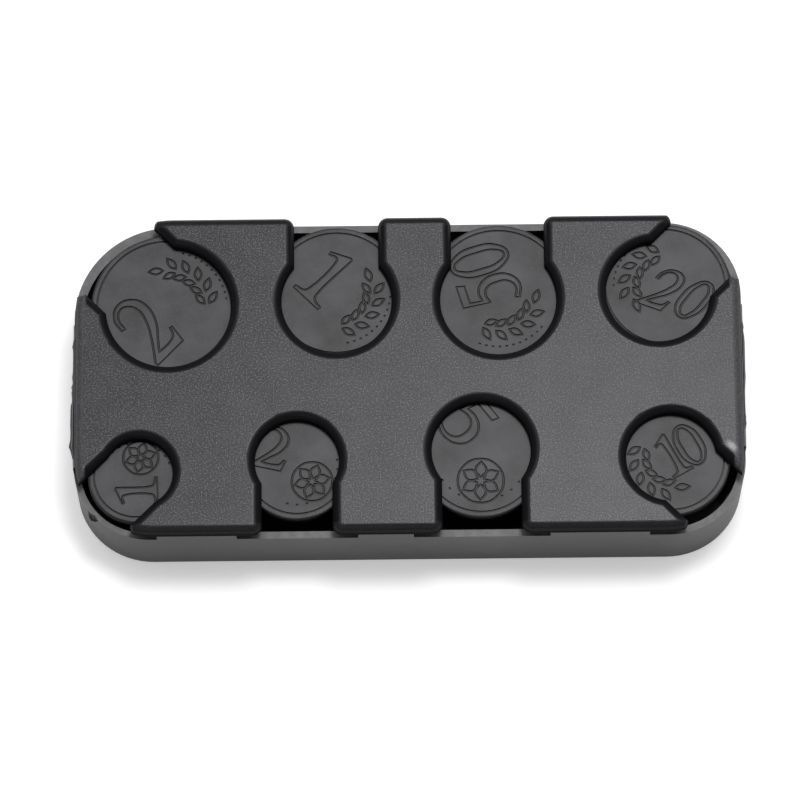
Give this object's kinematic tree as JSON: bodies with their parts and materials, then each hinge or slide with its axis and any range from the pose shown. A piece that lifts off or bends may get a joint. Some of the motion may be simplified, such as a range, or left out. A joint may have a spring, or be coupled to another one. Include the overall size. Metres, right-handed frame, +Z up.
{
  "type": "coin dispenser",
  "caption": "Flat pocket coin dispenser: a rounded tray and a cover plate with keyhole cut-outs over spring-loaded round platforms, each sized for one coin.",
  "frame": {"origin": "under the middle of the tray, on the surface that it lies on", "axes": "+X to the right along the length, +Y to the back row, +Z up out of the cover"},
  "size_m": [0.1124, 0.0554, 0.018],
  "materials": {
    "tray_plastic": "satin moulded",
    "cover_plastic": "fine textured top with smooth rounded edges",
    "platform_plastic": "smooth matt moulded",
    "spring_wire": "bright drawn wire"
  },
  "bodies": {
    "housing": {"base_tray": "tray_plastic", "cover_plate": "cover_plastic", "spring_back_1": "spring_wire", "spring_back_2": "spring_wire", "spring_back_3": "spring_wire", "spring_back_4": "spring_wire", "spring_front_1": "spring_wire", "spring_front_2": "spring_wire", "spring_front_3": "spring_wire", "spring_front_4": "spring_wire"},
    "platform_back_1": {"plunger_back_1": "platform_plastic"},
    "platform_back_2": {"plunger_back_2": "platform_plastic"},
    "platform_back_3": {"plunger_back_3": "platform_plastic"},
    "platform_back_4": {"plunger_back_4": "platform_plastic"},
    "platform_front_1": {"plunger_front_1": "platform_plastic"},
    "platform_front_2": {"plunger_front_2": "platform_plastic"},
    "platform_front_3": {"plunger_front_3": "platform_plastic"},
    "platform_front_4": {"plunger_front_4": "platform_plastic"}
  },
  "joints": [
    {"name": "press_back_1", "type": "slide", "parent": "housing", "child": "platform_back_1", "axis": [0, 0, -1], "range_m": [0, 0.008], "stiffness_N_per_m": 60, "springref_m": -0.004, "deforming": ["spring_back_1"]},
    {"name": "press_back_2", "type": "slide", "parent": "housing", "child": "platform_back_2", "axis": [0, 0, -1], "range_m": [0, 0.008], "stiffness_N_per_m": 60, "springref_m": -0.004, "deforming": ["spring_back_2"]},
    {"name": "press_back_3", "type": "slide", "parent": "housing", "child": "platform_back_3", "axis": [0, 0, -1], "range_m": [0, 0.008], "stiffness_N_per_m": 60, "springref_m": -0.004, "deforming": ["spring_back_3"]},
    {"name": "press_back_4", "type": "slide", "parent": "housing", "child": "platform_back_4", "axis": [0, 0, -1], "range_m": [0, 0.008], "stiffness_N_per_m": 60, "springref_m": -0.004, "deforming": ["spring_back_4"]},
    {"name": "press_front_1", "type": "slide", "parent": "housing", "child": "platform_front_1", "axis": [0, 0, -1], "range_m": [0, 0.008], "stiffness_N_per_m": 60, "springref_m": -0.004, "deforming": ["spring_front_1"]},
    {"name": "press_front_2", "type": "slide", "parent": "housing", "child": "platform_front_2", "axis": [0, 0, -1], "range_m": [0, 0.008], "stiffness_N_per_m": 60, "springref_m": -0.004, "deforming": ["spring_front_2"]},
    {"name": "press_front_3", "type": "slide", "parent": "housing", "child": "platform_front_3", "axis": [0, 0, -1], "range_m": [0, 0.008], "stiffness_N_per_m": 60, "springref_m": -0.004, "deforming": ["spring_front_3"]},
    {"name": "press_front_4", "type": "slide", "parent": "housing", "child": "platform_front_4", "axis": [0, 0, -1], "range_m": [0, 0.008], "stiffness_N_per_m": 60, "springref_m": -0.004, "deforming": ["spring_front_4"]}
  ]
}
